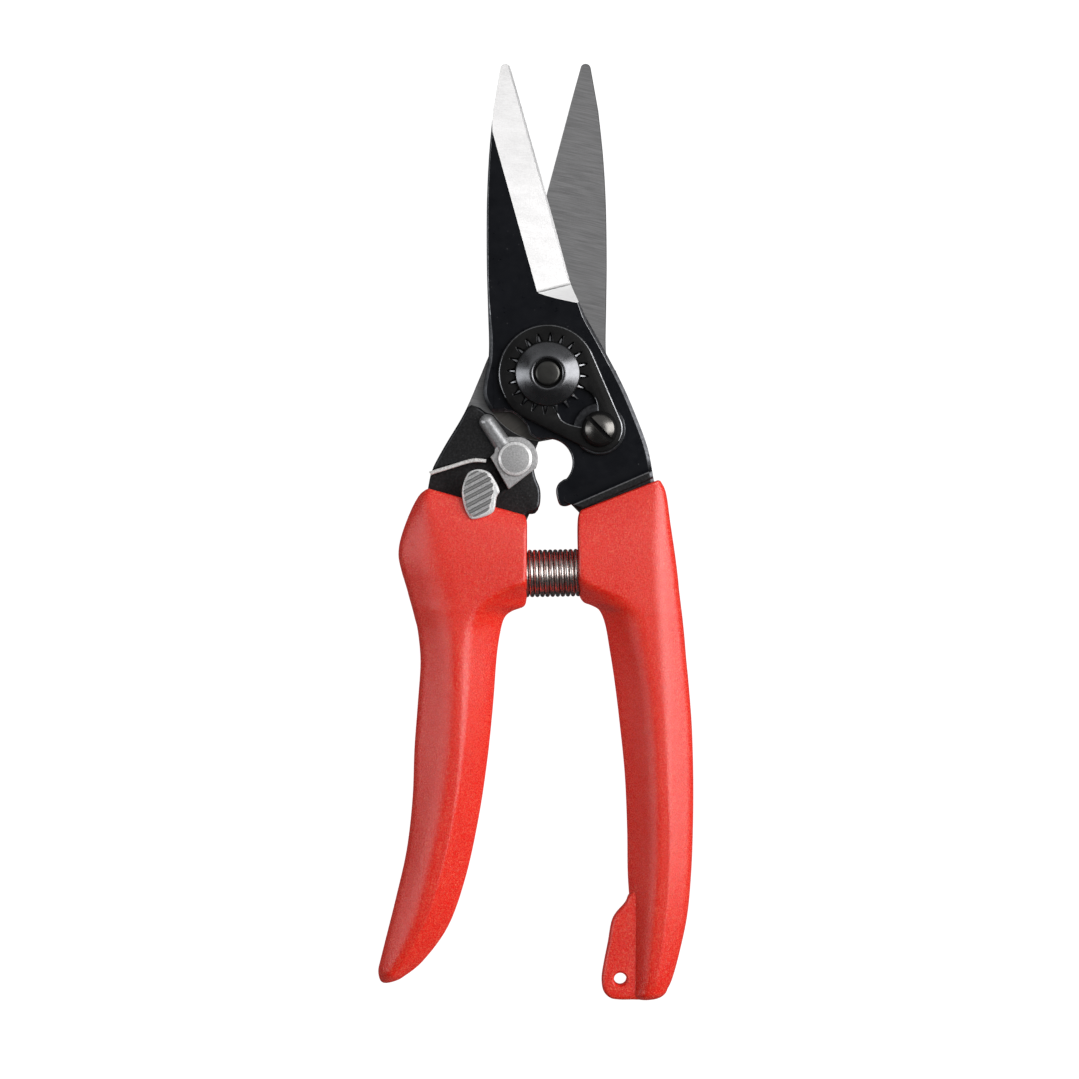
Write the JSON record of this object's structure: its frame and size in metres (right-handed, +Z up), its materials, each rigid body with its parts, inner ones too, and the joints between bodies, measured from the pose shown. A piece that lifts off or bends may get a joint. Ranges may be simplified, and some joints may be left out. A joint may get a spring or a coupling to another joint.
{
  "type": "floral snips",
  "caption": "Spring-opened floral snips with two straight forged blades on a bolted pivot, moulded grips, a thumb latch and a lanyard eye.",
  "frame": {"origin": "centre of the outline's bounding box, on the plane that the grips lie on", "axes": "+Y towards the blade tips, +X towards the grip with the lanyard eye, +Z up, out of the face that carries the pivot nut"},
  "size_m": [0.0674, 0.2002, 0.0138],
  "materials": {
    "coated_steel": "satin black low-friction coat, with polished bevels and brushed inner faces",
    "grip_plastic": "fine-grained red moulding",
    "black_oxide": "black oxide",
    "bare_steel": "tumbled bare steel",
    "spring_steel": "bright drawn wire"
  },
  "bodies": {
    "left_half": {"back_blade": "coated_steel", "left_grip": "grip_plastic", "latch_rivet": "bare_steel", "latch_spring": "bare_steel", "handle_spring": "spring_steel"},
    "right_half": {"front_blade": "coated_steel", "right_grip": "grip_plastic", "pivot_bolt": "black_oxide", "pivot_washer": "bare_steel", "pivot_nut": "black_oxide", "lock_plate": "black_oxide", "lock_screw": "black_oxide"},
    "latch": {"latch_lever": "bare_steel"}
  },
  "joints": [
    {"name": "handle_pivot", "type": "hinge", "parent": "left_half", "child": "right_half", "pos_m": [0.00268, 0.03367, 0.0066], "axis": [0, 0, -1], "range_deg": [0, 13.3], "stiffness_Nm_per_rad": 1.2, "springref_deg": -14.32, "deforming": ["handle_spring"]},
    {"name": "latch_pivot", "type": "hinge", "parent": "left_half", "child": "latch", "pos_m": [-0.00421, 0.01561, 0.0066], "axis": [0, 0, -1], "range_deg": [0, 18.7]}
  ],
  "couplings": [
    {"joint": "latch_pivot", "follows": "handle_pivot", "ratio": 1.4}
  ]
}
